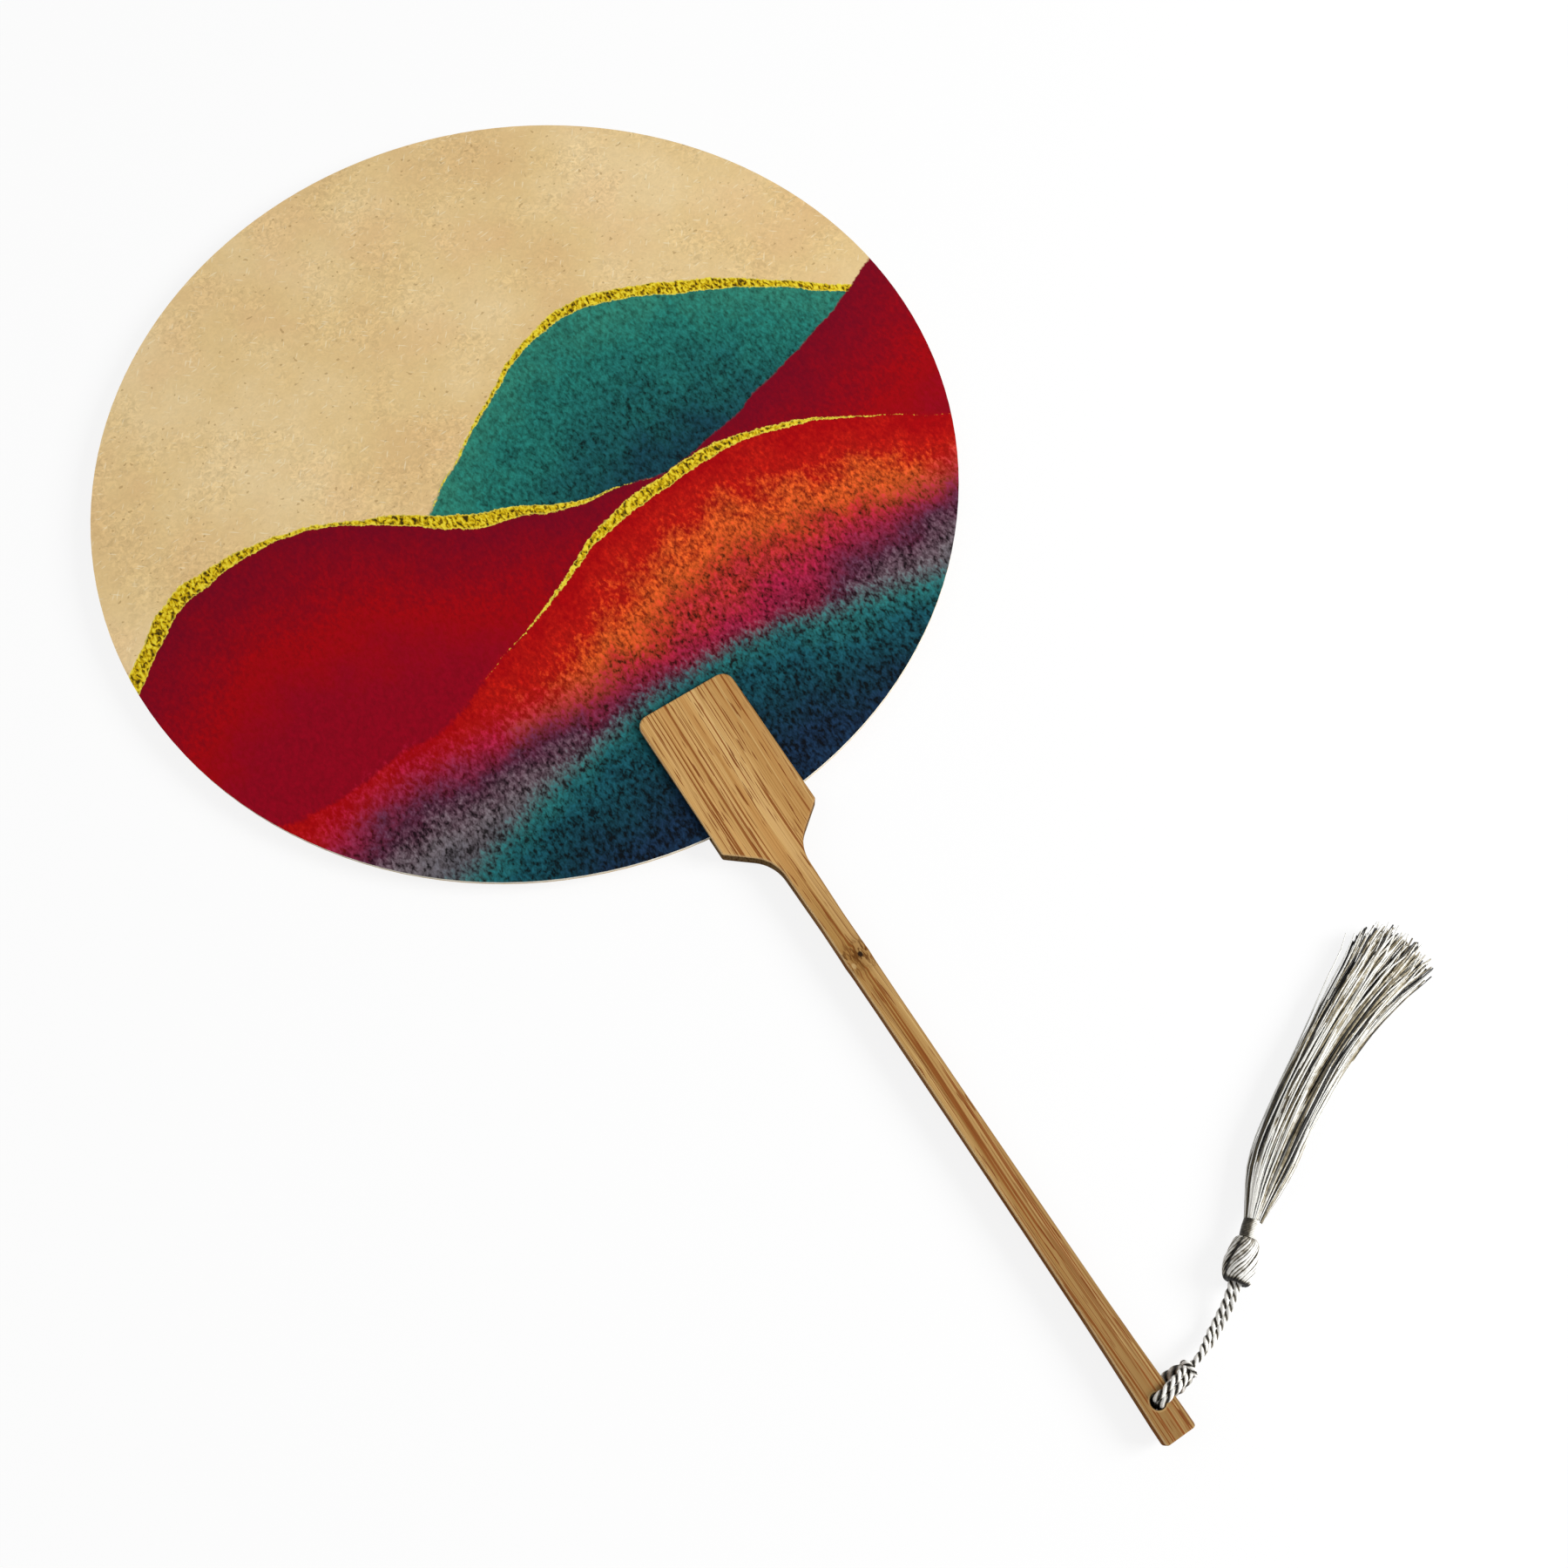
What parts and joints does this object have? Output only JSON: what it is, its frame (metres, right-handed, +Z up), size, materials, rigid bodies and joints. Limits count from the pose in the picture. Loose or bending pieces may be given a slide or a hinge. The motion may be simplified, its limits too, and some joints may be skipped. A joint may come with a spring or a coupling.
{
  "type": "paper hand fan",
  "caption": "Round paper hand fan with a flat bamboo handle and a silk tassel on a short twisted cord.",
  "frame": {"origin": "on the surface that the fan lies on, under the middle of its length and width without the tassel and its cord", "axes": "+Y along the handle, from its butt to the leaf; +Z up, out of the printed face; +X to the right as the printed face is seen with the leaf upwards"},
  "size_m": [0.22, 0.383, 0.0079],
  "materials": {
    "printed_kraft": "matt kraft paper with a painted and gold-flecked face",
    "white_board": "matt white card",
    "plain_kraft": "matt plain kraft paper",
    "bamboo": "planed and sealed bamboo, satin",
    "silk_cord": "twisted and wound silky thread",
    "silk_strand": "loose silky strands"
  },
  "bodies": {
    "fan": {"leaf_face_sheet": "printed_kraft", "leaf_board": "white_board", "leaf_back_sheet": "plain_kraft", "handle": "bamboo", "cord_hitch": "silk_cord"},
    "bight": {"cord_bight": "silk_cord"},
    "cord": {"tassel_cord": "silk_cord", "tassel_cord_return": "silk_cord", "tassel_knot": "silk_cord"},
    "tassel": {"tassel_collar": "silk_cord", "tassel_skirt": "silk_strand"}
  },
  "joints": [
    {"name": "cord_swing", "type": "hinge", "parent": "fan", "child": "bight", "pos_m": [0.00971, -0.18204, 0.00395], "axis": [0, 0, 1], "range_deg": [-100, 35]},
    {"name": "cord_lift", "type": "hinge", "parent": "bight", "child": "cord", "pos_m": [0.00971, -0.18204, 0.00395], "axis": [0.4147, -0.91, 0], "range_deg": [-80, 80]},
    {"name": "tassel_swing", "type": "hinge", "parent": "cord", "child": "tassel", "pos_m": [0.03426, -0.16947, 0.00395], "axis": [0, 0, 1], "range_deg": [-35, 30]}
  ]
}
